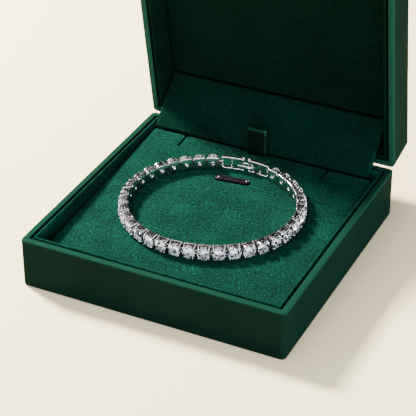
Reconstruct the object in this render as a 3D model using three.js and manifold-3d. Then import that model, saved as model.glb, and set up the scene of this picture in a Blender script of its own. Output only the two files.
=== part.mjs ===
// A line bracelet of round brilliants, lying closed on the velvet pad of its open case.
// Millimetres, +Z up. The origin is the middle of the tray's underside and +Y runs to the hinge.

import * as THREE from 'three';
import { mergeVertices } from 'three/addons/utils/BufferGeometryUtils.js';
import Module from 'manifold-3d';

const wasm = await Module();
wasm.setup();
const degree = Math.PI / 180;

// Case: two square trays on one hinge line
const caseSide = 90;
const trayHeight = 17.2;
const lidHeight = 13.2;
const wallThickness = 2.1;
const plateThickness = 1.6;
const cornerRadius = 1.6;
const edgeRound = 0.8;
const lidOpening = 80;       // degrees from shut
const rimGap = 0.3;          // between the two rims when shut

// Velvet collar inside each half
const collarGap = 0.8;
const collarThickness = 0.9;
const fitGap = 0.3;          // between pieces that sit on each other

// Sloping velvet pad with two cuts at its back edge, a pull tab and an oblong bar
const padSlope = 3;
const padHeight = 14;        // at the middle of the case
const padSideGap = 0.7;
const padBackGap = 7.6;      // from its back edge to the hinge line
const padRound = 1.2;        // of its front edge
const cutWidth = 0.7;
const cutLength = 7;
const cutDepth = 1.6;        // below the pad's height
const cutSpacing = 52.2;
const cutMiddle = -1.7;
const barLength = 12;
const barWidth = 2.9;
const barDepth = 1.6;
const barProud = 0.5;
const barGroove = 0.9;
const grooveDepth = 0.3;
const barPlace = { x: -1.9, y: 18.9, turn: 6.4 };
const tabWidth = 6.6;
const tabHeight = 9.6;
const tabFold = 1.7;         // from front face to back face
const ribbonThickness = 0.5;
const tabPlace = { x: -1, y: 35.6 };

// Velvet panel in the lid and the flap that covers the hinge
const panelThickness = 1.3;
const panelFoot = 11.7;      // from the hinge line to the panel's lower edge
const flapThickness = 0.8;
const flapShort = 1.8;       // how far it ends short of the pad's right side

// Bracelet: its middle line is a slightly oval loop on the pad
const loopRadius = 27.2;
const loopSwing = 1.7;       // how far the loop is out of round
const loopTurn = 13;
const loopMiddle = { x: -0.25, y: 0 };
const bandHeight = 4.6;
const bandDepth = 3.4;
const restGap = 0.1;
const stoneCount = 33;
const claspStart = 69.3;     // degrees round the loop
const claspEnd = 109.5;

// One link
const linkGap = 0.47;        // between neighbours on the middle line
const backPlate = 0.45;
const culetHole = 1.05;
const stoneDiameter = 3.8;
const crownShare = 0.16;     // heights and table radius as shares of the stone's diameter
const pavilionShare = 0.44;
const tableShare = 0.29;
const tableSetback = 0.12;   // behind the claws' tips
const postWidth = 0.42;
const clawWidth = 0.5;
const clawGrip = 0.08;       // how far the claws' middle lines stand outside the stone
const clawShort = 0.2;       // from the band's outer face to the claws' tips
const lugRadius = 0.5;
const lugBack = 0.4;         // from the pin to the lugs' side towards the wrist
const earNose = 0.35;        // from the pin to the ears' ends
const pinRadius = 0.2;
const pinPlay = 0.11;
const lugHeight = 0.7;
const lugInset = 0.62;       // the pin stands this far inside the middle line

// Clasp: two open frames, a tongue and a catch that swings inwards
const frameDepth = 1.8;
const frameRail = 0.75;
const frameParting = 1.3;
const middlePost = 0.4;      // its place as a share of a frame's length
const middlePostWidth = 0.6;
const railLap = 0.12;        // between the straight parts of a curved rail
const tongueHeight = 1.5;
const tongueThickness = 0.6;
const tongueGap = 0.3;       // to the right frame
const tongueSink = 0.6;      // past the left frame's end upright
const catchLength = 5.3;
const catchInset = 1.4;      // from the right frame's end upright to the catch's pin
const catchHeight = 1.2;
const catchThickness = 0.5;
const catchPin = 0.22;       // radius
const catchHubWall = 0.22;

const metal = new THREE.MeshStandardMaterial({ color: 0xd9dce0, roughness: 0.12, metalness: 1 });
const leatherette = new THREE.MeshStandardMaterial({ color: 0x1d3f35, roughness: 0.5 });
const velvet = new THREE.MeshStandardMaterial({ color: 0x1c6350, roughness: 1 });
const shadeVelvet = new THREE.MeshStandardMaterial({ color: 0x0c2a22, roughness: 1 });
const satin = new THREE.MeshStandardMaterial({ color: 0x16493b, roughness: 0.4 });
const gunmetal = new THREE.MeshStandardMaterial({ color: 0x4a3f4a, roughness: 0.35, metalness: 0.8 });

// Closed geometry to a solid that can be joined and cut
function solid(geometry, ...moves) {
  const shape = geometry.clone();
  for (const move of moves) shape.applyMatrix4(move);
  shape.deleteAttribute('normal');
  shape.deleteAttribute('uv');
  const merged = mergeVertices(shape, 1e-4);
  return new wasm.Manifold(new wasm.Mesh({
    numProp: 3,
    vertProperties: new Float32Array(merged.attributes.position.array),
    triVerts: new Uint32Array(merged.index.array),
  }));
}

// A solid back to a mesh with a name
function piece(name, body, material) {
  const data = body.getMesh();
  const geometry = new THREE.BufferGeometry();
  geometry.setAttribute('position', new THREE.BufferAttribute(new Float32Array(data.vertProperties), 3));
  geometry.setIndex(new THREE.BufferAttribute(new Uint32Array(data.triVerts), 1));
  geometry.computeVertexNormals();
  const mesh = new THREE.Mesh(geometry, material);
  mesh.name = name;
  return mesh;
}

function join(solids) {
  return solids.reduce((whole, next) => whole.add(next));
}

function move(x, y, z) {
  return new THREE.Matrix4().makeTranslation(x, y, z);
}

// Box between two corners
function block(low, high) {
  const size = high.map((value, axis) => value - low[axis]);
  return solid(new THREE.BoxGeometry(...size), move(...low.map((value, axis) => value + size[axis] / 2)));
}

function squareOutline(half, radius) {
  const outline = new THREE.Shape();
  outline.moveTo(half - radius, -half);
  for (const [x, y, start] of [[1, -1, -90], [1, 1, 0], [-1, 1, 90], [-1, -1, 180]]) {
    const middle = half - radius;
    outline.absarc(x * middle, y * middle, radius, start * degree, (start + 90) * degree);
  }
  return outline;
}

// Outer form of one half of the case, its open side up and its edges rounded
function halfShell(height) {
  const outline = squareOutline(caseSide / 2 - edgeRound, cornerRadius);
  const outer = new THREE.ExtrudeGeometry(outline, {
    depth: height - 2 * edgeRound, bevelThickness: edgeRound, bevelSize: edgeRound, bevelSegments: 2,
    curveSegments: 3,
  });
  const inner = caseSide / 2 - wallThickness;
  return solid(outer, move(0, 0, edgeRound)).subtract(
    block([-inner, -inner, plateThickness], [inner, inner, height + edgeRound]));
}

const collarOuter = caseSide / 2 - wallThickness - collarGap;
const collarInner = collarOuter - collarThickness;

// Square velvet collar that lines the walls of one half
function collar(height) {
  const foot = plateThickness + fitGap;
  return block([-collarOuter, -collarOuter, foot], [collarOuter, collarOuter, height]).subtract(
    block([-collarInner, -collarInner, foot - 1], [collarInner, collarInner, height + 1]));
}

// Outline in Y and Z pushed out along X
function profile(points, width, middle) {
  const outline = new THREE.Shape(points.map(([y, z]) => new THREE.Vector2(y, z)));
  const geometry = new THREE.ExtrudeGeometry(outline, { depth: width, bevelEnabled: false });
  const upright = new THREE.Matrix4().makeBasis(
    new THREE.Vector3(0, 1, 0), new THREE.Vector3(0, 0, 1), new THREE.Vector3(1, 0, 0));
  return solid(geometry, upright, move(middle - width / 2, 0, 0));
}

const padRise = Math.tan(padSlope * degree);
const padTop = (y) => padHeight + y * padRise;
const padHalf = collarInner - padSideGap;
const padBackEdge = caseSide / 2 - padBackGap;

// Frame that lies on the pad's slope: X across, Y up the slope, Z off the velvet
const onPad = new THREE.Matrix4().makeTranslation(0, 0, padHeight)
  .multiply(new THREE.Matrix4().makeRotationX(padSlope * degree));

function oblong(length, width, low, high) {
  const radius = width / 2;
  const straight = length / 2 - radius;
  const outline = new THREE.Shape();
  outline.absarc(straight, 0, radius, -90 * degree, 90 * degree);
  outline.absarc(-straight, 0, radius, 90 * degree, 270 * degree);
  const options = { depth: high - low, bevelEnabled: false, curveSegments: 4 };
  const geometry = new THREE.ExtrudeGeometry(outline, options);
  const turned = new THREE.Matrix4().makeRotationZ(barPlace.turn * degree);
  return solid(geometry, move(0, 0, low), turned, move(barPlace.x, barPlace.y, 0), onPad);
}

function displayPad() {
  const foot = plateThickness + fitGap;
  let pad = profile([
    [-padHalf, foot], [padBackEdge, foot], [padBackEdge, padTop(padBackEdge)],
    [-padHalf + padRound, padTop(-padHalf + padRound)], [-padHalf, padTop(-padHalf) - padRound],
  ], 2 * padHalf, 0);
  for (const side of [-1, 1]) {
    const x = cutMiddle + side * cutSpacing / 2;
    pad = pad.subtract(block(
      [x - cutWidth / 2, padBackEdge - cutLength, padHeight - cutDepth],
      [x + cutWidth / 2, padBackEdge + cutWidth, padTop(padBackEdge) + cutDepth]));
  }
  const pocket = oblong(barLength + 2 * fitGap, barWidth + 2 * fitGap, -barDepth - fitGap, barDepth);
  return pad.subtract(pocket);
}

function padBar() {
  const groove = oblong(barLength - barWidth, barGroove, barProud - grooveDepth, barProud + grooveDepth);
  return oblong(barLength, barWidth, -barDepth, barProud).subtract(groove);
}

// Folded ribbon that stands up from the pad, open at its foot
function pullTab() {
  const foot = padTop(tabPlace.y) + fitGap;
  const top = foot + tabHeight;
  const front = tabPlace.y - tabFold / 2;
  const back = tabPlace.y + tabFold / 2;
  const fold = tabFold / 3;
  return profile([
    [front, foot], [front + ribbonThickness, foot],
    [front + ribbonThickness, top - fold], [tabPlace.y, top - ribbonThickness],
    [back - ribbonThickness, top - fold], [back - ribbonThickness, foot + fitGap],
    [back, foot + fitGap], [back, top - fold],
    [tabPlace.y + fold / 2, top], [tabPlace.y - fold / 2, top], [front, top - fold],
  ], tabWidth, tabPlace.x);
}

// Place in the open lid: depth behind its rim and distance up from the hinge line
const hingeY = caseSide / 2;
const hingeZ = trayHeight + rimGap / 2;
const panelDepth = lidHeight - plateThickness - fitGap - panelThickness;   // behind the lid's rim

function inLid(depth, up) {
  const angle = lidOpening * degree;
  return [
    hingeY - up * Math.cos(angle) + (depth + rimGap / 2) * Math.sin(angle),
    hingeZ + up * Math.sin(angle) + (depth + rimGap / 2) * Math.cos(angle),
  ];
}

// Flap from the pad's back edge over the hinge to the foot of the lid's panel
function hingeFlap() {
  const low = [padBackEdge + fitGap, padTop(padBackEdge)];
  const high = inLid(panelDepth - fitGap, panelFoot - fitGap);
  const run = new THREE.Vector2(high[0] - low[0], high[1] - low[1]).normalize();
  const under = [run.y * flapThickness, -run.x * flapThickness];
  return profile([
    low, [low[0] + under[0], low[1] + under[1]],
    [high[0] + under[0], high[1] + under[1]], high,
  ], 2 * padHalf - flapShort, -flapShort / 2);
}

// The lid's pieces are made shut, upside up, about the hinge line and then opened
function shutPlace(body) {
  return body.transform(new THREE.Matrix4()
    .makeTranslation(0, -caseSide / 2, lidHeight + rimGap / 2)
    .multiply(new THREE.Matrix4().makeRotationX(Math.PI)).elements);
}

function lidPanel() {
  const half = collarInner - fitGap;
  const top = lidHeight - panelDepth;
  const foot = -caseSide / 2 + panelFoot;
  return block([-half, foot, plateThickness + fitGap], [half, half, top]);
}

const loopPoint = (angle) => {
  const radius = loopRadius + loopSwing * Math.cos(2 * (angle - loopTurn) * degree);
  return new THREE.Vector2(
    loopMiddle.x + radius * Math.cos(angle * degree), loopMiddle.y + radius * Math.sin(angle * degree));
};

// Length along the loop, counted round from one angle to another
const angleStep = 0.25;
function loopLength(from, to) {
  let length = 0;
  for (let angle = from; angle < to; angle += angleStep) {
    length += loopPoint(angle).distanceTo(loopPoint(Math.min(angle + angleStep, to)));
  }
  return length;
}

// Angle that lies a given length further round
function angleAfter(from, length) {
  let angle = from;
  let left = length;
  while (left > 0) {
    const step = loopPoint(angle).distanceTo(loopPoint(angle + angleStep));
    angle += angleStep * Math.min(1, left / step);
    left -= step;
  }
  return angle;
}

// Frame on the loop: X along it, Y to the wrist, Z up from the band's lower edge
function loopFrame(angle) {
  const here = loopPoint(angle);
  const ahead = loopPoint(angle + angleStep).sub(loopPoint(angle - angleStep)).normalize();
  return move(here.x, here.y, restGap).multiply(new THREE.Matrix4().makeBasis(
    new THREE.Vector3(ahead.x, ahead.y, 0), new THREE.Vector3(-ahead.y, ahead.x, 0),
    new THREE.Vector3(0, 0, 1)));
}

const pitch = loopLength(claspEnd, claspStart + 360) / stoneCount;
const linkWidth = pitch - linkGap;
const middle = bandHeight / 2;
const clearHole = pinRadius + pinPlay;
const earHeight = (lugHeight - pinPlay) / 2;

// Upright round bar
function post(radius, sides, low, high, x, y) {
  const geometry = new THREE.CylinderGeometry(radius, radius, high - low, sides);
  return solid(geometry, new THREE.Matrix4().makeRotationX(Math.PI / 2), move(x, y, (low + high) / 2));
}

// Two ears with the pin between them, reaching back to x = -reach
function earsAndPin(reach) {
  const half = lugHeight / 2 + pinPlay;
  const ears = [-1, 1].map((side) => {
    const edge = middle + side * half;
    const far = edge + side * earHeight;
    return block([-reach, lugInset - lugRadius, Math.min(edge, far)],
      [earNose, lugInset + lugBack, Math.max(edge, far)]);
  });
  const pinReach = half + earHeight / 2;
  return join([...ears, post(pinRadius, 6, middle - pinReach, middle + pinReach, 0, lugInset)]);
}

// Tongue with the hole that turns on the neighbour's pin, reaching on to x = reach
function tongueLug(reach) {
  const low = middle - lugHeight / 2;
  const high = middle + lugHeight / 2;
  return block([-lugRadius, lugInset - lugRadius, low], [reach, lugInset + lugBack, high])
    .subtract(post(clearHole, 6, low - 1, high + 1, 0, lugInset));
}

const crown = stoneDiameter * crownShare;
const pavilion = stoneDiameter * pavilionShare;
const tableRadius = stoneDiameter * tableShare;
const girdleY = -bandDepth / 2 + crown + tableSetback;

// Round brilliant with its table facing away from the wrist
function brilliant() {
  const outline = [[0, -pavilion], [stoneDiameter / 2, 0], [tableRadius, crown], [0, crown]];
  const geometry = new THREE.LatheGeometry(outline.map(([r, h]) => new THREE.Vector2(r, h)), 8);
  return solid(geometry, new THREE.Matrix4().makeRotationX(Math.PI), move(0, girdleY, middle));
}

// Plate towards the wrist, pierced under the stone's point
function piercedPlate() {
  const back = bandDepth / 2;
  const hole = new THREE.CylinderGeometry(culetHole, culetHole, bandDepth, 6);
  return block([-linkWidth / 2, back - backPlate, 0], [linkWidth / 2, back, bandHeight])
    .subtract(solid(hole, move(0, back, middle)));
}

// The claws lean from the plate's corners to the stone's edge: their place at a depth
const clawFoot = bandDepth / 2 - backPlate / 2;
const clawTip = -bandDepth / 2 + clawShort;

function clawPlace(depth) {
  const share = (clawFoot - depth) / (clawFoot - clawTip);
  const spread = linkWidth / 2 - clawWidth / 2;
  const lift = middle - clawWidth / 2;
  const grip = stoneDiameter / 2 * Math.SQRT1_2 + clawGrip;
  return [spread + (grip - spread) * share, lift + (grip - lift) * share];
}

function claws() {
  const made = [];
  for (const side of [-1, 1]) {
    for (const level of [-1, 1]) {
      const claw = new THREE.BoxGeometry(clawWidth, clawFoot - clawTip, clawWidth);
      const places = claw.attributes.position;
      for (let i = 0; i < places.count; i += 1) {
        const [across, up] = clawPlace(places.getY(i) < 0 ? clawTip : clawFoot);
        places.setX(i, places.getX(i) + side * across);
        places.setZ(i, places.getZ(i) + level * up);
      }
      made.push(solid(claw, move(0, (clawFoot + clawTip) / 2, middle)));
    }
  }
  return made;
}

// The two posts behind the plate that carry the lugs
function lugPosts() {
  const near = pitch / 2 - lugRadius - pinPlay;
  return [-1, 1].map((side) => block(
    [Math.min(side * near, side * (near - postWidth)), lugInset - lugRadius, middle - lugHeight],
    [Math.max(side * near, side * (near - postWidth)), clawFoot, middle + lugHeight]));
}

function linkBody() {
  return join([piercedPlate(), ...claws(), ...lugPosts(), brilliant()]);
}

const lugReach = lugRadius + pinPlay + postWidth / 2;
const ears = earsAndPin(lugReach);
const tongue = tongueLug(lugReach);
const placed = (body, angle) => body.transform(loopFrame(angle).elements);

function bracelet() {
  const group = new THREE.Group();
  group.applyMatrix4(onPad);
  const link = linkBody();
  let joint = claspEnd;
  for (let count = 1; count <= stoneCount; count += 1) {
    const centre = angleAfter(joint, pitch / 2);
    const next = angleAfter(joint, pitch);
    const body = join([placed(link, centre), placed(tongue, joint), placed(ears, next)]);
    group.add(piece(`link_${String(count).padStart(2, '0')}`, body, metal));
    joint = next;
  }
  group.add(...clasp());
  return group;
}

const claspArc = loopLength(claspStart, claspEnd);
const frameLength = (claspArc - frameParting) / 2;
const railSteps = 4;

// Bar that follows the loop between two distances from the clasp's right end
function sweptBar(from, to, depth, low, high) {
  const bars = [];
  for (let step = 0; step < railSteps; step += 1) {
    const start = from + (to - from) * step / railSteps;
    const length = (to - from) / railSteps;
    const angle = angleAfter(claspStart, start + length / 2);
    const overlap = step < railSteps - 1 ? railLap : 0;
    bars.push(placed(block([-length / 2, -depth / 2, low], [length / 2 + overlap, depth / 2, high]), angle));
  }
  return join(bars);
}

function upright(at, width, depth) {
  const inset = frameRail / 2;
  return placed(block([-width / 2, -depth / 2, inset], [width / 2, depth / 2, bandHeight - inset]),
    angleAfter(claspStart, at));
}

// One open frame: two rails, two uprights and the lug's post
function openFrame(from, to, lugSide) {
  const inset = frameRail / 2;
  const lugAt = lugSide < 0 ? from : to;
  return join([
    sweptBar(from, to, frameDepth, 0, frameRail),
    sweptBar(from, to, frameDepth, bandHeight - frameRail, bandHeight),
    upright(from + inset, frameRail, frameDepth),
    upright(to - inset, frameRail, frameDepth),
    upright(lugAt - lugSide * frameLength * middlePost, middlePostWidth, frameDepth),
  ]);
}

function clasp() {
  const gap = lugRadius + pinPlay;
  const rightStart = gap;
  const rightEnd = gap + frameLength - gap;
  const leftStart = rightEnd + frameParting;
  const leftEnd = claspArc - gap;
  const pinAt = rightEnd - frameRail - catchInset;
  const right = join([openFrame(rightStart, rightEnd, -1),
    placed(tongueLug(gap + frameRail / 2), claspStart)]);
  const left = join([openFrame(leftStart, leftEnd, 1),
    placed(earsAndPin(gap + frameRail / 2), claspEnd)]);
  return [
    piece('clasp_frame_right', right.add(catchStud(pinAt)), metal),
    piece('clasp_frame_left', left.add(claspTongue(leftStart, rightEnd)), metal),
    piece('clasp_catch', catchLever(pinAt), metal),
  ];
}

// Tongue of the left frame, which stands in the gap between the two
function claspTongue(leftStart, rightEnd) {
  const low = middle - tongueHeight / 2;
  const half = tongueThickness / 2;
  const angle = angleAfter(claspStart, (leftStart + rightEnd) / 2);
  return placed(block([tongueGap - frameParting / 2, -half, low],
    [frameParting / 2 + frameRail + tongueSink, half, low + tongueHeight]), angle);
}

const catchBore = catchPin + pinPlay;
const catchHub = catchBore + catchHubWall;
const catchY = frameDepth / 2 + pinPlay + catchHub;

// Frame like the loop's, but laid along the chord that the catch spans
function chordFrame(at) {
  const start = loopPoint(angleAfter(claspStart, at));
  const along = loopPoint(angleAfter(claspStart, at + catchLength)).sub(start).normalize();
  return move(start.x, start.y, restGap).multiply(new THREE.Matrix4().makeBasis(
    new THREE.Vector3(along.x, along.y, 0), new THREE.Vector3(-along.y, along.x, 0),
    new THREE.Vector3(0, 0, 1)));
}

// Bracket and pin on the right frame's inner side, on which the catch turns
function catchStud(at) {
  const half = catchHeight / 2 + pinPlay;
  const reach = catchY + catchPin + pinPlay;
  const parts = [-1, 1].map((side) => {
    const edge = middle + side * half;
    const far = edge + side * earHeight;
    const low = Math.min(edge, far);
    const high = Math.max(edge, far);
    return block([-catchHub, 0, low], [catchInset + frameRail / 2, catchHub, high])
      .add(block([-catchHub, 0, low], [catchHub, reach, high]));
  });
  const pin = post(catchPin, 6, middle - half - earHeight / 2, middle + half + earHeight / 2, 0, catchY);
  return join([...parts, pin]).transform(chordFrame(at).elements);
}

// Flat catch: its far end lies against the left frame's inner side
function catchLever(at) {
  const low = middle - catchHeight / 2;
  const high = middle + catchHeight / 2;
  const half = catchThickness / 2;
  const bar = block([0, catchY - half, low], [catchLength, catchY + half, high])
    .add(post(catchHub, 8, low, high, 0, catchY))
    .subtract(post(catchBore, 6, low - 1, high + 1, 0, catchY));
  return bar.transform(chordFrame(at).elements);
}

const tray = new THREE.Group();
tray.add(
  piece('tray_shell', halfShell(trayHeight), leatherette),
  piece('tray_collar', collar(trayHeight), velvet),
  piece('display_pad', displayPad(), velvet),
  piece('pad_bar', padBar(), gunmetal),
  piece('pull_tab', pullTab(), satin),
  piece('hinge_flap', hingeFlap(), shadeVelvet),
);

const lid = new THREE.Group();
lid.position.set(0, hingeY, hingeZ);
lid.rotation.x = -lidOpening * degree;
lid.add(
  piece('lid_shell', shutPlace(halfShell(lidHeight)), leatherette),
  piece('lid_collar', shutPlace(collar(lidHeight)), shadeVelvet),
  piece('lid_panel', shutPlace(lidPanel()), shadeVelvet),
);

const model = new THREE.Group();
model.add(tray, lid, bracelet());
export default model;
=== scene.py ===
# Line bracelet of round brilliants in its open velvet-lined case.
# Metres in Blender. Shapes below are worked out in millimetres and scaled once, in addPiece.

import bpy, bmesh, math
import numpy as np
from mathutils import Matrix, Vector


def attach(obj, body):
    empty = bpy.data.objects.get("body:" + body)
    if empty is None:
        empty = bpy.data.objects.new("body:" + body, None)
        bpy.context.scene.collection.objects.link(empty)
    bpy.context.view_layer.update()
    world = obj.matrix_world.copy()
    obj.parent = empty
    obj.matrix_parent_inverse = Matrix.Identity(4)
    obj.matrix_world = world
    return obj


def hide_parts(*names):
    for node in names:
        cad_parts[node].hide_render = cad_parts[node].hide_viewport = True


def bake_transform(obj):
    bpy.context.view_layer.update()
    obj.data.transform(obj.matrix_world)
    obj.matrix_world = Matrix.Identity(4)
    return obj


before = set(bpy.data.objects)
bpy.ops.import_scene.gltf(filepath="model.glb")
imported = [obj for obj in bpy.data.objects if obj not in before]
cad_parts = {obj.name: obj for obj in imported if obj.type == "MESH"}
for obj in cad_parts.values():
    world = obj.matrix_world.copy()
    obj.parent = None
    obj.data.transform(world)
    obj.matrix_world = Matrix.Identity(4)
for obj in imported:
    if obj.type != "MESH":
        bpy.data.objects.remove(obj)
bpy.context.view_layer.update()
print("frame loaded:", len(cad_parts), "solids")

mm = 0.001
deg = math.pi / 180
case = dict(side=90, trayHeight=17.2, lidHeight=13.2, wall=2.1, plate=1.6, corner=1.6, rimGap=0.3,
            lidOpening=80, collarGap=0.8, collarWall=0.9, fit=0.3, outerEdge=0.75, rimOuter=0.5,
            rimInner=0.25, mitre=0.09)
slope = dict(angle=3, height=14)  # the pad's top falls towards the front


def gridQuads(rows, cols, closeRows=False, closeCols=False):
    # quads between neighbours of a rows x cols grid of points, wrapped round where asked
    i, j = np.meshgrid(np.arange(rows if closeRows else rows - 1), np.arange(cols if closeCols else cols - 1),
                       indexing="ij")
    nextI, nextJ = (i + 1) % rows, (j + 1) % cols
    corners = [i * cols + j, nextI * cols + j, nextI * cols + nextJ, i * cols + nextJ]
    return np.stack(corners, -1).reshape(-1, 4)


def gridShape(points, closeRows=False, closeCols=False):
    # (points, faces) of a rows x cols grid of points
    rows, cols = points.shape[:2]
    return points.reshape(-1, 3), gridQuads(rows, cols, closeRows, closeCols).tolist()


def joinShapes(shapes):
    # several (points, faces) into one, faces renumbered
    points, faces, count = [], [], 0
    for shapePoints, shapeFaces in shapes:
        points.append(shapePoints)
        faces.extend((np.asarray(face) + count).tolist() for face in shapeFaces)
        count += len(shapePoints)
    return np.concatenate(points), faces


def addPiece(name, shape, material, smooth=40, outward=True):
    # mesh and object from (points in mm, faces): doubles merged, faces turned outwards, smooth up to an angle
    points, faces = shape
    weld = 0.001 * mm
    mesh = bpy.data.meshes.new(name)
    mesh.from_pydata((points * mm).tolist(), [], [list(face) for face in faces])
    work = bmesh.new()
    work.from_mesh(mesh)
    bmesh.ops.remove_doubles(work, verts=work.verts, dist=weld)
    bmesh.ops.dissolve_degenerate(work, edges=work.edges, dist=weld / 10)
    if outward:
        bmesh.ops.recalc_face_normals(work, faces=work.faces)
    work.to_mesh(mesh)
    work.free()
    mesh.shade_smooth()
    mesh.set_sharp_from_angle(angle=smooth * deg)
    mesh.materials.append(material)
    piece = bpy.data.objects.new(name, mesh)
    bpy.context.collection.objects.link(piece)
    return piece


def rounded(angle, power):
    # unit superellipse: signed powers of cosine and sine, square-ish as power grows
    c, s = np.cos(angle), np.sin(angle)
    return np.sign(c) * np.abs(c) ** (2 / power), np.sign(s) * np.abs(s) ** (2 / power)


def sweep(path, across, wide, high, power=4, sides=12, closed=False, endRound=0.0):
    # a superellipse carried along a path: centre + across' * wide * cos + (tangent x across') * high * sin.
    # wide and high may change along the path; endRound tapers both ends like a quarter circle of that length
    path = np.asarray(path, float)
    count = len(path)
    if closed:
        tangent = np.roll(path, -1, 0) - np.roll(path, 1, 0)
    else:
        tangent = np.gradient(path, axis=0)
    tangent /= np.linalg.norm(tangent, axis=1, keepdims=True)
    side = np.broadcast_to(np.asarray(across, float), path.shape)
    side = side - tangent * (side * tangent).sum(1, keepdims=True)
    side /= np.linalg.norm(side, axis=1, keepdims=True)
    lift = np.cross(tangent, side)
    size = np.ones(count)
    if endRound and not closed:
        along = np.concatenate([[0], np.cumsum(np.linalg.norm(np.diff(path, axis=0), axis=1))])
        near = np.clip(np.minimum(along, along[-1] - along) / endRound, 0, 1)
        size = np.sqrt(np.clip(1 - (1 - near) ** 2, 0, 1))
    angle = np.linspace(0, 2 * math.pi, sides, endpoint=False) + math.pi / sides
    c, s = rounded(angle, power)
    wide = (np.broadcast_to(wide, (count,)) * size)[:, None, None]
    high = (np.broadcast_to(high, (count,)) * size)[:, None, None]
    points = path[:, None] + side[:, None] * wide * c[None, :, None] + lift[:, None] * high * s[None, :, None]
    points, faces = gridShape(points, closed, True)
    if not closed and not endRound:
        faces.append(list(range(sides)))
        faces.append(list(range((count - 1) * sides, count * sides))[::-1])
    return points, faces


def endStops(length, radius, middle=2):
    # distances along a bar, packed at both ends so that a quarter circle of that radius reads as round
    curve = radius * (1 - np.cos(np.linspace(0, math.pi / 2, 5)))
    even = np.linspace(radius, length - radius, middle + 2)[1:-1]
    return np.concatenate([curve, even, length - curve[::-1]])


def bar(start, end, across, wide, high, power=5, sides=12, ends=None, middle=1):
    # straight rounded bar between two points
    start, end = np.asarray(start, float), np.asarray(end, float)
    length = np.linalg.norm(end - start)
    ends = min(wide, high) * 0.6 if ends is None else ends
    stops = endStops(length, ends, middle)
    path = start + (end - start) * (stops / length)[:, None]
    size = np.sqrt(np.clip(1 - (1 - np.clip(np.minimum(stops, length - stops) / ends, 0, 1)) ** 2, 0, 1))
    size = 1 - (1 - size) * min(1, ends / min(wide, high) / 0.95)
    return sweep(path, across, wide * size, high * size, power, sides)


def sphere(centre, radius, rings=7, sides=12, stretch=(1, 1, 1)):
    # latitude and longitude grid; the poles are welded when the mesh is made
    lat = np.linspace(-math.pi / 2, math.pi / 2, rings)[:, None]
    lon = np.linspace(0, 2 * math.pi, sides, endpoint=False)[None]
    points = np.stack([np.cos(lat) * np.cos(lon), np.cos(lat) * np.sin(lon), np.sin(lat) + 0 * lon], -1)
    return gridShape(points * radius * np.asarray(stretch) + np.asarray(centre), closeCols=True)


def placeShape(shape, origin, axes):
    # local x, y, z along the three axes given as rows, from origin
    points, faces = shape
    return points @ np.asarray(axes) + np.asarray(origin), faces


def linear(colour):
    # sRGB hex to linear RGBA
    channels = np.array([int(colour[k:k + 2], 16) for k in (1, 3, 5)]) / 255
    low, high = channels / 12.92, ((channels + 0.055) / 1.055) ** 2.4
    return (*np.where(channels <= 0.04045, low, high).tolist(), 1.0)


def addNode(material, kind, links=None, inputs=None, stops=(), **settings):
    # one node with its properties, socket values, links and colour stops; a socket goes by its name or number
    node = material.node_tree.nodes.new("ShaderNode" + kind)
    for key, value in settings.items():
        setattr(node, key, value)
    for key, value in (inputs or {}).items():
        node.inputs[key].default_value = value
    for key, source in (links or {}).items():
        material.node_tree.links.new(source, node.inputs[key])
    for count, (place, colour) in enumerate(stops):
        if count >= len(node.color_ramp.elements):
            node.color_ramp.elements.new(place)
        node.color_ramp.elements[count].position = place
        node.color_ramp.elements[count].color = linear(colour)
    return node


def newMaterial(name):
    material = bpy.data.materials.new(name)
    material.use_nodes = True
    material.node_tree.nodes.clear()
    return material


def finishMaterial(material, links, **values):
    # Principled surface and the output; values go on the shader's own sockets
    shader = addNode(material, "BsdfPrincipled", links, inputs=values)
    addNode(material, "OutputMaterial", {"Surface": shader.outputs[0]})
    return material


def polishedWhiteGold():
    # rhodium-plated white gold, buffed to a mirror: bright sharp reflections with faint wheel marks. Inside
    # the baskets, between the parts and at the plates' borders, its colour is darkened to grey (painted
    # shade) and it is a little rougher
    material = newMaterial("whiteGoldPolished")
    place = addNode(material, "TexCoord").outputs["Object"]
    marks = addNode(material, "TexNoise", {"Vector": place}, inputs={"Scale": 1 / (0.35 * mm), "Detail": 3})
    # share of painted shade on the settings: 0 in the open, up to 1 inside the baskets
    shadeShare = addNode(material, "Attribute", attribute_name="paintedShade").outputs["Fac"]
    tone = addNode(material, "ValToRGB", {"Fac": shadeShare}, stops=[(0.0, "#f5f5f6"), (1.0, "#34363a")])
    buffed = addNode(material, "MapRange", {"Value": marks.outputs["Fac"]},
                     inputs={"From Min": 0.3, "From Max": 0.75, "To Min": 0.12, "To Max": 0.2})
    rough = addNode(material, "Math", {0: shadeShare, 2: buffed.outputs[0]}, inputs={1: 0.1},
                    operation="MULTIPLY_ADD")
    bump = addNode(material, "Bump", {"Height": marks.outputs["Fac"]},
                   inputs={"Strength": 0.04, "Distance": 0.01 * mm})
    surface = {"Base Color": tone.outputs[0], "Roughness": rough.outputs[0], "Normal": bump.outputs[0]}
    return finishMaterial(material, surface, Metallic=1.0)


def cutStone():
    # faceted clear stone, ground and polished: each facet is painted with its own reflection, a tone from
    # slate to white
    material = newMaterial("clearStoneFaceted")
    tone = addNode(material, "Attribute", attribute_name="facetPaintedReflection").outputs["Fac"]
    reflectionTint = addNode(material, "ValToRGB", {"Fac": tone},
                   stops=[(0.0, "#0d1014"), (0.25, "#48505c"), (0.5, "#a6acb6"), (1.0, "#fafbff")])
    return finishMaterial(material, {"Base Color": reflectionTint.outputs[0]}, **{"Roughness": 0.04, "IOR": 2.42})


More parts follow.
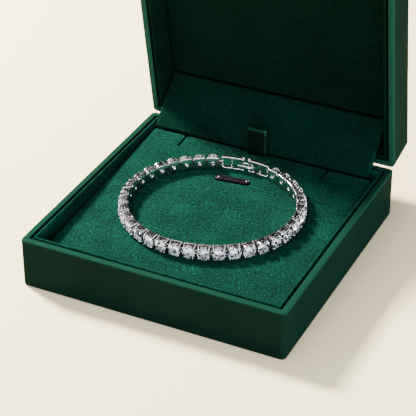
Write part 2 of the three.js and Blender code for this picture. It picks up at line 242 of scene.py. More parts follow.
def velvet(name, dark, middle, light, sheen):
    # woven rayon pile, brushed: soft and matt, mottled where the tufts lie over, paler towards grazing. The
    # tufts are drawn at 0.42 mm, coarser than real ones, so that they show
    material = newMaterial(name)
    place = addNode(material, "TexCoord").outputs["Object"]
    tufts = addNode(material, "TexNoise", {"Vector": place},
                    inputs={"Scale": 1 / (0.42 * mm), "Detail": 3, "Roughness": 0.7})
    brushed = addNode(material, "TexNoise", {"Vector": place}, inputs={"Scale": 1 / (11 * mm), "Detail": 2})
    mixed = addNode(material, "Math", {0: brushed.outputs["Fac"], 2: tufts.outputs["Fac"]},
                    inputs={1: 0.15}, operation="MULTIPLY_ADD")
    tone = addNode(material, "ValToRGB", {"Fac": mixed.outputs[0]},
                   stops=[(0.43, dark), (0.6, middle), (0.77, light)])
    bump = addNode(material, "Bump", {"Height": tufts.outputs["Fac"]},
                   inputs={"Strength": 0.6, "Distance": 0.16 * mm})
    return finishMaterial(material, {"Base Color": tone.outputs[0], "Normal": bump.outputs[0]},
                          **{"Roughness": 0.95, "Sheen Weight": sheen, "Sheen Roughness": 0.5,
                             "Sheen Tint": linear("#4fc09c"), "Specular IOR Level": 0.02})


def leatherette(name, base, cloudy, rimHighlight):
    # embossed polyurethane leather over card: fine pebbled grain under a thin satin sealer, so that it greys
    # only at a slant, and paler on the rim: a painted highlight where the rim faces the light
    material = newMaterial(name)
    place = addNode(material, "TexCoord").outputs["Object"]
    grain = addNode(material, "TexVoronoi", {"Vector": place}, feature="SMOOTH_F1",
                    inputs={"Scale": 1 / (0.42 * mm), "Smoothness": 0.6})
    cloud = addNode(material, "TexNoise", {"Vector": place}, inputs={"Scale": 1 / (14 * mm), "Detail": 4})
    tone = addNode(material, "ValToRGB", {"Fac": cloud.outputs["Fac"]}, stops=[(0.3, base), (0.75, cloudy)])
    rimLit = addNode(material, "Attribute", attribute_name="rimPaintedHighlight").outputs["Fac"]
    skin = addNode(material, "Mix", {"Factor": rimLit, 6: tone.outputs[0]}, inputs={7: linear(rimHighlight)},
                   data_type="RGBA")
    rough = addNode(material, "MapRange", {"Value": grain.outputs["Distance"]},
                    inputs={"From Min": 0.0, "From Max": 0.8, "To Min": 0.5, "To Max": 0.66})
    bump = addNode(material, "Bump", {"Height": grain.outputs["Distance"]},
                   inputs={"Strength": 0.35, "Distance": 0.05 * mm})
    surface = {"Base Color": skin.outputs[2], "Roughness": rough.outputs[0], "Normal": bump.outputs[0]}
    return finishMaterial(material, surface,
                          **{"Specular IOR Level": 0.0, "Coat Weight": 0.025, "Coat Roughness": 0.4})


def satinRibbon():
    # warp-faced woven satin: a soft streak of gloss across fine lengthwise threads, drawn coarser than real
    # ones, and paler along the top fold: a painted highlight where the fold faces the light
    material = newMaterial("satinRibbonWoven")
    place = addNode(material, "TexCoord").outputs["Object"]
    threads = addNode(material, "TexWave", {"Vector": place}, bands_direction="X",
                      inputs={"Scale": 1 / (0.5 * mm), "Distortion": 1.2, "Detail": 2})
    tone = addNode(material, "ValToRGB", {"Fac": threads.outputs["Fac"]},
                   stops=[(0.0, "#010a07"), (1.0, "#020f0a")])
    rimLit = addNode(material, "Attribute", attribute_name="rimPaintedHighlight").outputs["Fac"]
    cloth = addNode(material, "Mix", {"Factor": rimLit, 6: tone.outputs[0]}, inputs={7: linear("#0c3f2f")},
                    data_type="RGBA")
    bump = addNode(material, "Bump", {"Height": threads.outputs["Fac"]},
                   inputs={"Strength": 0.08, "Distance": 0.02 * mm})
    return finishMaterial(material, {"Base Color": cloth.outputs[2], "Normal": bump.outputs[0]},
                          **{"Roughness": 0.36, "Sheen Weight": 0.7, "Sheen Roughness": 0.25,
                             "Sheen Tint": linear("#4fb08d"), "Specular IOR Level": 0.04})


def platedGunmetal():
    # nickel-blackened brass, tumbled: dark, faintly violet, with a rubbed bloom
    material = newMaterial("gunmetalPlated")
    place = addNode(material, "TexCoord").outputs["Object"]
    bloom = addNode(material, "TexNoise", {"Vector": place}, inputs={"Scale": 1 / (0.8 * mm), "Detail": 3})
    tone = addNode(material, "ValToRGB", {"Fac": bloom.outputs["Fac"]},
                   stops=[(0.35, "#171319"), (0.7, "#2f2832")])
    rough = addNode(material, "MapRange", {"Value": bloom.outputs["Fac"]},
                    inputs={"To Min": 0.22, "To Max": 0.42})
    surface = {"Base Color": tone.outputs[0], "Roughness": rough.outputs[0]}
    return finishMaterial(material, surface, Metallic=1.0)


gold = polishedWhiteGold()
stone = cutStone()
padVelvet = velvet("padVelvetBrushed", "#02130e", "#052b24", "#105145", sheen=0.04)
# the lid's lining and the hinge flap are darker copies of the pad's velvet: painted shade of the lid's inside
shadedLiningVelvet = velvet("liningVelvetPaintedShade", "#000805", "#01130c", "#021f16", sheen=0.01)
shadedFlapVelvet = velvet("flapVelvetPaintedShade", "#010f0b", "#021c16", "#042c22", sheen=0.03)
shellSkin = leatherette("leatheretteEmbossed", "#041510", "#051913", "#0f3228")
ribbonCloth = satinRibbon()
darkMetal = platedGunmetal()
print("materials made")


def squareRing(inset, height, half, corner):
    # a profile of (inset, height) carried round a square with rounded corners. Past the corner's radius the
    # corner keeps a small one, and an inset of half closes at the centre
    least, arc, straight = 0.25, 6, 10
    rings = []
    for d, z in zip(inset, height):
        radius = max(corner - d, least) if d < half - least else 0.0
        reach = half - d
        turn = np.linspace(0, math.pi / 2, arc + 1)
        quarter = reach - radius + radius * np.stack([np.cos(turn), np.sin(turn)], -1)
        share = np.concatenate([[0.01], np.linspace(0, 1, straight + 2)[1:-1], [0.99]])[:, None]
        nextStart = np.array([-(reach - radius), reach])
        run = quarter[-1] + (nextStart - quarter[-1]) * share
        side = np.concatenate([quarter, run])
        loop = []
        for k in range(4):
            c, s = math.cos(k * math.pi / 2), math.sin(k * math.pi / 2)
            loop.append(side @ np.array([[c, s], [-s, c]]))
        ring = np.concatenate(loop)
        rings.append(np.concatenate([ring, np.full((len(ring), 1), z)], 1))
    return np.stack(rings)


def arcPoints(centre, radius, start, end, steps=5):
    # points of an arc in the profile's plane, angles in degrees
    angle = np.linspace(start, end, steps) * deg
    return [(centre[0] + radius * math.cos(a), centre[1] + radius * math.sin(a)) for a in angle]


def meshPoints(piece):
    # the piece's points in millimetres
    points = np.empty(len(piece.data.vertices) * 3, np.float32)
    piece.data.vertices.foreach_get("co", points)
    return points.reshape(-1, 3) / mm


def addShare(piece, name, values, domain="POINT"):
    share = piece.data.attributes.new(name, "FLOAT", domain)
    share.data.foreach_set("value", np.asarray(values, np.float32))


def paintRimHighlight(piece, rimLevel, up):
    # point attribute for a painted highlight: 1 on the rim, falling to 0 at 0.6 mm below it
    below = rimLevel - meshPoints(piece) @ np.asarray(up, float)
    addShare(piece, "rimPaintedHighlight", np.clip(1 - (below - 0.15) / 0.45, 0, 1))


def shellShape(height):
    # foot edge, outer wall, rim, inner wall and floor as one closed profile round the square
    half, wall, plate = case["side"] / 2, case["wall"], case["plate"]
    outerEdge, rimOuter, rimInner = case["outerEdge"], case["rimOuter"], case["rimInner"]
    near = 0.25  # rings this far beside each rounding keep the flats flat
    profile = [(half, 0), (half / 2, 0), (outerEdge + near, 0)]
    profile += arcPoints((outerEdge, outerEdge), outerEdge, 270, 180)
    profile += [(0, outerEdge + near), (0, height / 2), (0, height - rimOuter - near)]
    profile += arcPoints((rimOuter, height - rimOuter), rimOuter, 180, 90)
    profile += arcPoints((wall - rimInner, height - rimInner), rimInner, 90, 0, 4)
    profile += [(wall, height - rimInner - near), (wall, plate), (half / 2, plate), (half, plate)]
    inset, level = np.array(profile).T
    grid = squareRing(inset, level, half, case["corner"])
    onRim = np.abs(level - height) < 0.3
    corners = np.arange(3, grid.shape[1], grid.shape[1] // 4)
    grid[np.ix_(onRim, corners)] -= [0, 0, case["mitre"]]  # the skin's fold at each corner
    return gridShape(grid, closeCols=True)


def collarShape(height):
    # thin board covered with velvet: a closed wall whose upper edge is fully rounded
    outer = case["wall"] + case["collarGap"]
    wide = case["collarWall"]
    foot = case["plate"] + case["fit"]
    profile = [(outer, foot), (outer, height * 0.5)]
    profile += arcPoints((outer + wide / 2, height - wide / 2), wide / 2, 180, 0, 9)
    profile += [(outer + wide, height * 0.5), (outer + wide, foot)]
    inset, level = np.array(profile).T
    return gridShape(squareRing(inset, level, case["side"] / 2, case["corner"]), True, True)


lidC, lidS = math.cos(case["lidOpening"] * deg), math.sin(case["lidOpening"] * deg)
hingeLine = np.array([0, case["side"] / 2, case["trayHeight"] + case["rimGap"] / 2])


def openLid(points):
    # shell made open side up, laid shut on the tray about the hinge line, then turned open
    x, y, z = points.T
    y, z = -y - case["side"] / 2, case["lidHeight"] - z + case["rimGap"] / 2
    return np.stack([x, y * lidC + z * lidS, z * lidC - y * lidS], -1) + hingeLine


trayShell = addPiece("trayShell", shellShape(case["trayHeight"]), shellSkin)
# paler rim of the tray: painted highlight
paintRimHighlight(trayShell, case["trayHeight"], (0, 0, 1))
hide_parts("tray_shell")
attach(trayShell, "root")

points, faces = shellShape(case["lidHeight"])
lidShell = addPiece("lidShell", (openLid(points), faces), shellSkin)
lidOut = np.array([0, -lidS, -lidC])
# paler rim of the lid: painted highlight
paintRimHighlight(lidShell, float(hingeLine @ lidOut) - case["rimGap"] / 2, lidOut)
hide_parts("lid_shell")
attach(lidShell, "lid")

trayCollar = addPiece("trayCollar", collarShape(case["trayHeight"]), padVelvet)
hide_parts("tray_collar")
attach(trayCollar, "root")

points, faces = collarShape(case["lidHeight"])
# the lid collar takes the darker copy of the tray collar's velvet: painted shade
lidCollar = addPiece("lidCollar", (openLid(points), faces), shadedLiningVelvet)
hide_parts("lid_collar")
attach(lidCollar, "lid")
print("case shells and collars made")


pad = dict(half=40.5, back=37.4, foot=1.9, roundFront=1.3, roundBack=0.9, cutWidth=0.7, cutLength=7,
           cutSpacing=52.2, cutMiddle=-1.7, cutDepth=2.4, cutSag=0.35, pocketDepth=1.1, pocketSag=0.45,
           pillow=0.12)
oblong = dict(length=12, width=2.4, depth=1.6, proud=0.34, rivet=0.34, rivetInset=1.15, x=-1.9, y=18.9,
              turn=6.4)
turnC, turnS = math.cos(oblong["turn"] * deg), math.sin(oblong["turn"] * deg)


def padLevel(y):
    return slope["height"] + y * math.tan(slope["angle"] * deg)


def gridLines(low, high, step, fine):
    # even lines with extra ones where (from, to, step) asks for them
    lines = [np.linspace(low, high, int(round((high - low) / step)) + 1)]
    lines += [np.arange(a, b + 1e-6, s) for a, b, s in fine]
    lines = np.unique(np.round(np.concatenate(lines), 3))
    keep = np.concatenate([[True], np.diff(lines) > 0.06])
    return lines[keep]


def softNoise(x, y, seed, scale):
    # sum of a few sine waves in random directions, about -1 to 1
    rng = np.random.default_rng(seed)
    total = np.zeros(np.broadcast(x, y).shape)
    for _ in range(7):
        a, f, p = rng.uniform(0, 2 * math.pi), rng.uniform(0.6, 1.6) / scale, rng.uniform(0, 2 * math.pi)
        total = total + np.sin((x * math.cos(a) + y * math.sin(a)) * f * 2 * math.pi + p)
    return total / 3.2


def standGrid(gx, gy, gz, foot):
    # grid of heights with walls from its border down to a level foot, closed below
    rows, cols = gx.shape
    points = np.stack([gx, gy, gz], -1).reshape(-1, 3)
    index = np.arange(rows * cols).reshape(rows, cols)
    border = np.concatenate([index[:-1, 0], index[-1, :-1], index[:0:-1, -1], index[0, :0:-1]])
    below = rows * cols + np.arange(len(border))
    under = points[border].copy()
    under[:, 2] = foot
    faces = gridQuads(rows, cols).tolist()
    faces += np.stack([border, below, np.roll(below, -1), np.roll(border, -1)], -1).tolist()
    faces.append(below.tolist())
    return np.concatenate([points, under]), faces


def oblongDistance(x, y):
    # distance from the oblong's outline in its own turned frame, negative inside
    u = (x - oblong["x"]) * turnC + (y - oblong["y"]) * turnS
    v = (y - oblong["y"]) * turnC - (x - oblong["x"]) * turnS
    straight = (oblong["length"] - oblong["width"]) / 2
    return np.hypot(np.maximum(np.abs(u) - straight, 0), v) - oblong["width"] / 2


def padShape():
    # height field: slope + slight pillow - cuts - pocket, its border rolled over a quarter turn
    half, back = pad["half"], pad["back"]
    cutsX = [pad["cutMiddle"] + side * pad["cutSpacing"] / 2 for side in (-1, 1)]
    edge = pad["cutWidth"] / 2
    fineX = [(x + side * edge - 0.14, x + side * edge + 0.14, 0.14) for x in cutsX for side in (-1, 1)]
    fineX += [(oblong["x"] - 7, oblong["x"] + 7, 0.3)]
    cutEnd = back - pad["cutLength"]
    fineY = [(cutEnd - 0.3, cutEnd + 0.3, 0.15), (oblong["y"] - 3, oblong["y"] + 3, 0.3)]
    rf, rb = pad["roundFront"], pad["roundBack"]
    roll = np.array([22, 45, 68, 90]) * deg
    xs = gridLines(-half + rf, half - rf, 1.3, fineX)
    ys = gridLines(-half + rf, back - rb, 1.3, fineY)
    ax = np.concatenate([-roll[::-1], np.zeros(len(xs)), roll])
    xs = np.pad(xs, 4, mode="edge")
    ay = np.concatenate([-roll[::-1], np.zeros(len(ys)), roll])
    ry = np.concatenate([np.full(4, rf), np.full(len(ys) + 4, rb)])
    ys = np.pad(ys, 4, mode="edge")
    gx = (xs + rf * np.sin(ax))[:, None] + 0 * ys[None]
    gy = (ys + ry * np.sin(ay))[None] + 0 * xs[:, None]
    drop = rf * (1 - np.cos(ax))[:, None] + (ry * (1 - np.cos(ay)))[None] * np.cos(ax)[:, None]
    gz = padLevel(gy) - drop
    inside = np.cos(ax)[:, None] * np.cos(ay)[None]
    gz = gz + pad["pillow"] * 0.5 * softNoise(gx, gy, 4, 26) * inside
    for x in cutsX:  # the velvet dips into each cut
        near = np.abs(gx - x)
        within = 0.5 + 0.5 * np.tanh((gy - cutEnd) / 0.16)
        sag = pad["cutSag"] * np.exp(-np.maximum(near - edge, 0) / 0.5)
        gz = gz - within * (pad["cutDepth"] * (near < edge) + sag)
    away = oblongDistance(gx, gy)
    sag = pad["pocketSag"] * np.exp(-np.maximum(away - 0.15, 0) / 0.45)
    gz = gz - np.where(away < 0.15, pad["pocketDepth"], sag)
    return standGrid(gx, gy, gz, pad["foot"])


displayPad = addPiece("displayPad", padShape(), padVelvet, smooth=60)
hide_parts("display_pad")
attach(displayPad, "root")


slopeC, slopeS = math.cos(slope["angle"] * deg), math.sin(slope["angle"] * deg)
slopeAxes = np.array([[1, 0, 0], [0, slopeC, slopeS], [0, -slopeS, slopeC]])


def onPad(points):
    # x across, y up the slope, z off the velvet
    return points @ slopeAxes + [0, 0, slope["height"]]


def barShape():
    # stadium outline carried up a rounded edge, across a low land and on to a rounded rib along the middle
    straight, radius = (oblong["length"] - oblong["width"]) / 2, oblong["width"] / 2
    turn = np.linspace(-math.pi / 2, math.pi / 2, 13)
    right = np.stack([straight + radius * np.cos(turn), radius * np.sin(turn)], -1)
    outline = np.concatenate([right, -right])
    spine = np.stack([np.clip(outline[:, 0], -straight, straight), 0 * outline[:, 1]], -1)
    top = oblong["proud"]
    profile = [(0.0, -oblong["depth"]), (1.0, -oblong["depth"]), (1.0, top - 0.3), (0.95, top - 0.1),
               (0.82, top - 0.04), (0.6, top - 0.16), (0.46, top - 0.16), (0.36, top - 0.04),
               (0.2, top + 0.04), (0.0, top + 0.06)]
    rings = []
    for share, z in profile:
        ring = spine + (outline - spine) * share
        rings.append(np.concatenate([ring, np.full((len(ring), 1), z)], 1))
    points, faces = gridShape(np.stack(rings), closeCols=True)
    points = points @ np.array([[turnC, turnS, 0], [-turnS, turnC, 0], [0, 0, 1]])
    return onPad(points + [oblong["x"], oblong["y"], 0]), faces


def rivetShapes():
    # one domed head near each end of the bar
    reach = oblong["length"] / 2 - oblong["rivetInset"]
    x, y, top = oblong["x"], oblong["y"], oblong["proud"] + 0.02
    return [sphere((x + side * reach * turnC, y + side * reach * turnS, top), oblong["rivet"], rings=9,
                   stretch=(1, 1, 0.6)) for side in (-1, 1)]


padBar = addPiece("padBar", barShape(), darkMetal)
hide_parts("pad_bar")
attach(padBar, "root")
points, faces = joinShapes(rivetShapes())
barRivets = addPiece("barRivets", (onPad(points), faces), gold, smooth=60)
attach(barRivets, "root")
print("pad and bar made")


flap = dict(width=79.2, middle=-0.9, thickness=0.6, panelDepth=10, panelFoot=11.7, bow=0.45, waves=0.12)
tab = dict(width=6.6, height=9.6, fold=1.7, thickness=0.42, x=-1, y=35.6, hollow=0.25, hollowBack=0.2,
           shortBack=0.3, cup=0.1)


def inLid(depth, up):
    # place in the open lid: depth behind its rim, distance up from the hinge line
    depth = depth + case["rimGap"] / 2
    return hingeLine[1:] + [depth * lidS - up * lidC, up * lidS + depth * lidC]


def flapShape():
    # sheet between two lines, lifted off the straight by a sine bow across its length and small waves
    low = np.array([pad["back"] + case["fit"] + 0.15, padLevel(pad["back"]) + 0.1])
    high = inLid(flap["panelDepth"] - case["fit"], flap["panelFoot"] - case["fit"])
    u = np.linspace(-0.5, 0.5, 61)[:, None]
    v = np.linspace(0, 1, 25)[None]
    across = (high - low) / np.linalg.norm(high - low)
    normal = np.array([-across[1], across[0]])
    waves = flap["waves"] * softNoise(u * flap["width"], v * 20, 8, 22)
    bow = (flap["bow"] * (1 - 0.6 * (2 * u) ** 2) + waves) * np.sin(math.pi * v)
    x = flap["middle"] + u * flap["width"] + 0 * v
    y = low[0] + (high[0] - low[0]) * v + normal[0] * bow
    z = low[1] + (high[1] - low[1]) * v + normal[1] * bow
    return gridShape(np.stack([x, y, z], -1)), float(np.linalg.norm(high - low))


def thicken(piece, thickness, offset):
    solid = piece.modifiers.new("thickness", "SOLIDIFY")
    solid.thickness = thickness * mm
    solid.offset = offset
    solid.use_even_offset = True
    return solid


flapGrid, flapLength = flapShape()
hingeFlap = addPiece("hingeFlap", flapGrid, shadedFlapVelvet, outward=False)
thicken(hingeFlap, flap["thickness"], -1)
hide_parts("hinge_flap")
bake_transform(hingeFlap)


def panelShape():
    # card covered with velvet: box whose face swells by a product of cosines and whose edge is rolled
    half = case["side"] / 2 - case["wall"] - case["collarGap"] - case["collarWall"] - case["fit"]
    low, high = -case["side"] / 2 + flap["panelFoot"], half
    face, foot, roll = case["lidHeight"] - flap["panelDepth"], case["plate"] + case["fit"], 0.7
    turn = np.array([30, 60, 90]) * deg
    ax = np.concatenate([-turn[::-1], np.zeros(41), turn])
    ay = np.concatenate([-turn[::-1], np.zeros(37), turn])
    xs = np.pad(np.linspace(-half + roll, half - roll, 41), 3, mode="edge") + roll * np.sin(ax)
    ys = np.pad(np.linspace(low + roll, high - roll, 37), 3, mode="edge") + roll * np.sin(ay)
    gx, gy = np.meshgrid(xs, ys, indexing="ij")
    drop = roll * (1 - np.cos(ax)[:, None] * np.cos(ay)[None])
    gz = face - drop + 0.1 * softNoise(gx, gy, 12, 30) * np.cos(ax)[:, None] * np.cos(ay)[None]
    points, faces = standGrid(gx, gy, gz, foot)
    return openLid(points), faces


lidPanel = addPiece("lidPanel", panelShape(), shadedLiningVelvet, smooth=60)
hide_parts("lid_panel")
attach(lidPanel, "lid")


def tabShape():
    # ribbon folded over: up the front, round a half turn and down the back, slightly hollow between
    foot = padLevel(tab["y"]) + case["fit"]
    radius = tab["fold"] / 2 - tab["thickness"] / 2
    top = foot + tab["height"] - radius - tab["thickness"] / 2
    rise = np.linspace(0, 1, 12)
    turn = np.linspace(0, math.pi, 9)[1:-1]
    back = rise[::-1]
    y = np.concatenate([tab["hollow"] * np.sin(math.pi * rise) - radius, -radius * np.cos(turn),
                        radius - tab["hollowBack"] * np.sin(math.pi * back)])
    short = tab["shortBack"]
    z = np.concatenate([foot + (top - foot) * rise, top + radius * np.sin(turn),
                        foot + short + (top - foot - short) * back])
    u = np.linspace(-0.5, 0.5, 9)[:, None]
    across, cup = tab["x"] + u * tab["width"], tab["cup"] * (2 * u) ** 2
    return gridShape(np.stack([across + 0 * y, tab["y"] + y + cup, z + 0 * u], -1))


pullTab = addPiece("pullTab", tabShape(), ribbonCloth, outward=False)
# paler top fold of the tab: painted highlight
paintRimHighlight(pullTab, padLevel(tab["y"]) + case["fit"] + tab["height"], (0, 0, 1))
thicken(pullTab, tab["thickness"], 0)
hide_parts("pull_tab")
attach(pullTab, "root")
print("flap, lid panel and pull tab made")


loop = dict(radius=27.2, swing=1.7, turn=13, x=-0.25, y=0, lift=0.1, start=69.3, end=109.5, links=33)
band = dict(height=4.6, depth=3.4, gap=0.47)


def loopPoint(angle):
    # radius swings twice round the loop: r = radius + swing cos 2(angle - turn)
    radius = loop["radius"] + loop["swing"] * np.cos(2 * (angle - loop["turn"]) * deg)
    return np.stack([loop["x"] + radius * np.cos(angle * deg), loop["y"] + radius * np.sin(angle * deg)], -1)


loopAngles = np.arange(loop["start"], loop["end"] + 360.001, 0.05)
loopSteps = np.linalg.norm(np.diff(loopPoint(loopAngles), axis=0), axis=1)
loopRun = np.concatenate([[0], np.cumsum(loopSteps)])
claspArc = float(np.interp(loop["end"], loopAngles, loopRun))
pitch = (float(np.interp(loop["start"] + 360, loopAngles, loopRun)) - claspArc) / loop["links"]
linkWidth = pitch - band["gap"]
mid, back = band["height"] / 2, band["depth"] / 2


def axesAlong(here, ahead):
    # origin, and rows x ahead, y to the wrist, z up
    ahead = ahead / np.linalg.norm(ahead)
    return np.array([*here, loop["lift"]]), np.array([[*ahead, 0], [-ahead[1], ahead[0], 0], [0, 0, 1]])


def loopAxes(distance):
    # axes along the loop at a distance from the clasp's right end
    angle = np.interp(distance, loopRun, loopAngles)
    return axesAlong(loopPoint(angle), loopPoint(angle + 0.25) - loopPoint(angle - 0.25))


def atLoop(shape, distance):
    return placeShape(shape, *loopAxes(distance))


def alongLoop(distances, level):
    # points that follow the loop at a level above the velvet
    here = loopPoint(np.interp(distances, loopRun, loopAngles))
    return np.concatenate([here, np.full((len(here), 1), level + loop["lift"])], 1)


link = dict(plate=0.5, hole=0.44, lip=0.22, lipHeight=0.12, chamfer=0.24, chamferWidth=0.15, bead=0.24,
            lugInset=0.62, lugRadius=0.5, lugHeight=0.7, pin=0.2, play=0.11)
clawForm = dict(off=0.13, rise=0.22, over=0.17, tuck=0.14)  # beside, above and over the stone's edge
innerWire = dict(y=0.42, half=1.7, top=1.9, foot=1.75, wide=0.12, high=0.12)
outerWire = dict(y=-0.5, half=1.7, top=2.06, foot=1.72, wide=0.19, high=0.15)
# shares of painted shade on the settings, and where along a link they start or end
shade = dict(wire=0.2, foot=0.5, border=0.6, flank=0.9, wireStart=-0.8, clawStart=1.3, flankEnd=1.9)
gem = dict(diameter=4.15, table=0.58, crown=0.65, pavilion=1.8, girdle=0.09, out=0.12)
girdleY = gem["crown"] + gem["out"] - back


def piercedPlate():
    # ring between a round hole with a raised lip and a square-ish outline that is chamfered towards the wrist
    front, edge, steps = back - link["plate"], 0.13, 40
    lip, raised = link["lip"], back + link["lipHeight"]
    angle = np.linspace(0, 2 * math.pi, steps, endpoint=False)
    ox, oz = rounded(angle, 9)
    hx, hz = rounded(angle, 2)
    rings = []
    section = [(0, 0, back - edge), (0, 0.05, raised - 0.06), (0, lip / 2, raised), (0, lip, raised - 0.06),
               (0, lip + 0.06, back), (1, link["chamferWidth"] + 0.04, back),
               (1, link["chamferWidth"], back - 0.02), (1, 0, back - link["chamfer"]), (1, 0, front + edge),
               (1, edge, front), (0, edge, front), (0, 0, front + edge)]
    for outer, grow, y in section:
        if outer:
            x, z = ox * (linkWidth / 2 - grow * 0.3), oz * (mid - grow)
        else:
            x, z = hx * (link["hole"] + grow), hz * (link["hole"] + grow)
        rings.append(np.stack([x, np.full(steps, y), z + mid], -1))
    return gridShape(np.stack(rings), True, True)


clawFoot, clawTip = back - link["plate"] / 2, -back


def clawPath(side, level):
    # from the plate's corner straight to the stone's edge, then hooked over its crown
    foot = np.array([side * (linkWidth / 2 - 0.25), clawFoot, mid + level * (mid - 0.25)])
    grip = gem["diameter"] / 2 * math.sqrt(0.5)
    beside, over = grip + clawForm["off"], grip - clawForm["over"]
    shoulder = np.array([side * beside, girdleY - 0.02, mid + level * beside])
    tip = np.array([side * over, clawTip + clawForm["tuck"], mid + level * over])
    t = np.linspace(0, 1, 6)[:, None]
    lower = foot + (shoulder - foot) * t
    s = np.linspace(0, 1, 6)[1:, None]
    bend = shoulder - [0, clawForm["rise"], 0]
    upper = (1 - s) ** 2 * shoulder + 2 * s * (1 - s) * bend + s ** 2 * tip
    return np.concatenate([lower, upper])


def claw(side, level):
    path = clawPath(side, level)
    size = np.concatenate([np.linspace(0.27, 0.23, 6), [0.235, 0.24, 0.23, 0.17, 0.02]])
    return sweep(path, (side, 0, -level), size, size, power=2.6, sides=8)


def wireRing(y, half, top, foot, wide, high):
    # closed wire behind the stone: a flat-topped arch above, an ellipse round the stone's underside below
    angle = np.linspace(0, 2 * math.pi, 36, endpoint=False)
    arch, bowl = rounded(angle, 3.4), rounded(angle, 2)
    above = np.sin(angle) > 0
    x = np.where(above, arch[0], bowl[0]) * half
    z = np.where(above, arch[1] * top, bowl[1] * foot)
    path = np.stack([x, np.full(36, y), mid + z], -1)
    return sweep(path, (0, 1, 0), wide, high, power=3, sides=8, closed=True)


def lugParts():
    # a post out of the plate on each side, which carries the tongue or the ears
    near = pitch / 2 - link["lugRadius"] - link["play"] - 0.21
    start = link["lugInset"] - 0.25
    return [bar((side * near, start, mid), (side * near, clawFoot, mid), (0, 0, 1), 0.66, 0.21)
            for side in (-1, 1)]


def turnedRing(centreY, profile):
    # a closed profile of (radius, level) turned round an upright pin
    angle = np.linspace(0, 2 * math.pi, 20, endpoint=False)
    rings = [np.stack([r * np.cos(angle), centreY + r * np.sin(angle), np.full(20, mid + z)], -1)
             for r, z in profile]
    return gridShape(np.stack(rings), True, True)


def tongueShape(reach):
    # flat round-ended lug with a bored end, its four edges taken off, about its joint's axis
    half, inset, ease = link["lugHeight"] / 2, link["lugInset"], 0.05
    bore, outer = link["pin"] + link["play"], link["lugRadius"] * 0.9
    cut = 0.12 * (outer - bore)
    eye = turnedRing(inset, [(bore, ease - half), (bore + cut, -half), (outer - cut, -half),
                             (outer, ease - half), (outer, half - ease), (outer - cut, half),
                             (bore + cut, half), (bore, half - ease)])
    return [eye, bar((0.36, inset, mid), (reach, inset, mid), (0, 0, 1), half - 0.02, 0.26, power=6)]


def earShapes(reach):
    # two flat ears with the pin between them, about the joint's axis
    half, pin, inset = link["lugHeight"] / 2 + link["play"], link["pin"], link["lugInset"]
    ear = (link["lugHeight"] - link["play"]) / 2
    end = half + ear
    shapes = [bar((0, inset, mid - end), (0, inset, mid + end), (1, 0, 0), pin, pin, power=2, sides=10)]
    for side in (-1, 1):
        level = mid + side * (half + ear / 2)
        shapes += [bar((-reach, inset, level), (0.36, inset, level), (0, 0, 1), ear / 2, 0.42, 4, ends=0.12),
                   sphere((0, inset, mid + side * end), pin * 1.25, rings=5, sides=10, stretch=(1, 1, 0.5))]
    return shapes


def brilliantShape(spin):
    # round brilliant about its own axis: rings of points at a radius and height, joined facet by facet. The
    # table is split by the arrows that show through it, tipped slightly so that each catches the light
    r = gem["diameter"] / 2
    tableR = r * gem["table"]
    crown, thick, deep = gem["crown"], gem["girdle"] / 2, gem["pavilion"]
    eight = np.arange(8) * math.pi / 4 + spin
    sixteen = np.arange(16) * math.pi / 8 + spin

    def ring(angles, radius, height):
        return np.stack([radius * np.cos(angles), 0 * angles - height, radius * np.sin(angles)], -1)

    tilt = 0.03 * np.array([1, -1] * 8)
    heart = ring(eight[:1], 0.0, crown - 0.02)
    arrows = ring(sixteen, tableR * 0.42, crown + tilt)
    tableRing = ring(eight + math.pi / 8, tableR, crown)
    starRing = ring(eight, tableR + (r - tableR) * 0.48, thick + (crown - thick) * 0.56)
    upper, lower = ring(sixteen, r, thick), ring(sixteen, r, -thick)
    lowRing = ring(eight + math.pi / 8, r * 0.25, -thick - (deep - thick) * 0.77)
    culet = ring(eight, 0.05, -deep)
    groups = [heart, arrows, tableRing, starRing, upper, lower, lowRing, culet]
    starts = np.cumsum([0] + [len(group) for group in groups])[:-1]
    hub, arrow, flat, star, rim, under, low, tip = starts.tolist()
    faces, reflectionTones = [], []
    rng = np.random.default_rng(int(spin * 1e4))

    def facet(face, dark, bright=0.0):
        # painted reflection tones: shares of facets that are nearly black and nearly white; the rest lie
        # between
        faces.append(face)
        draw = rng.random()
        low, high = (0.0, 0.15) if draw < dark else (0.8, 1.0) if draw < dark + bright else (0.15, 0.46)
        reflectionTones.append(rng.uniform(low, high))

    for k in range(8):
        n, g = (k + 1) % 8, 2 * k
        before, after, nextGirdle = (g - 1) % 16, g + 1, (g + 2) % 16
        facet([hub, arrow + g, arrow + after], 0.45, 0.15)  # arrow heads, the darker part of the table
        facet([hub, arrow + after, arrow + nextGirdle], 0.1, 0.45)
        facet([arrow + g, flat + k, arrow + after], 0.3, 0.4)
        facet([arrow + after, flat + k, arrow + nextGirdle], 0.35, 0.35)
        facet([arrow + g, flat + (k - 1) % 8, flat + k], 0.1, 0.6)
        facet([flat + k, flat + (k - 1) % 8, star + k], 0.2, 0.5)
        facet([star + k, rim + g, rim + after], 0.32, 0.4)
        facet([star + k, rim + before, rim + g], 0.32, 0.4)
        facet([flat + k, star + k, rim + after, star + n], 0.15, 0.6)  # kite
        facet([under + g, under + after, low + k], 0.4, 0.4)
        facet([under + after, under + nextGirdle, low + k], 0.4, 0.4)
        facet([low + (k - 1) % 8, under + g, low + k, tip + k], 0.5, 0.2)  # pavilion main
        facet([low + k, tip + n, tip + k], 0.5, 0.2)
    for k in range(16):
        facet([rim + k, rim + (k + 1) % 16, under + (k + 1) % 16, under + k], 0.5, 0.2)
    facet(list(range(tip, tip + 8))[::-1], 0.0, 0.3)
    return (np.concatenate(groups) + [0, girdleY, mid], faces), reflectionTones


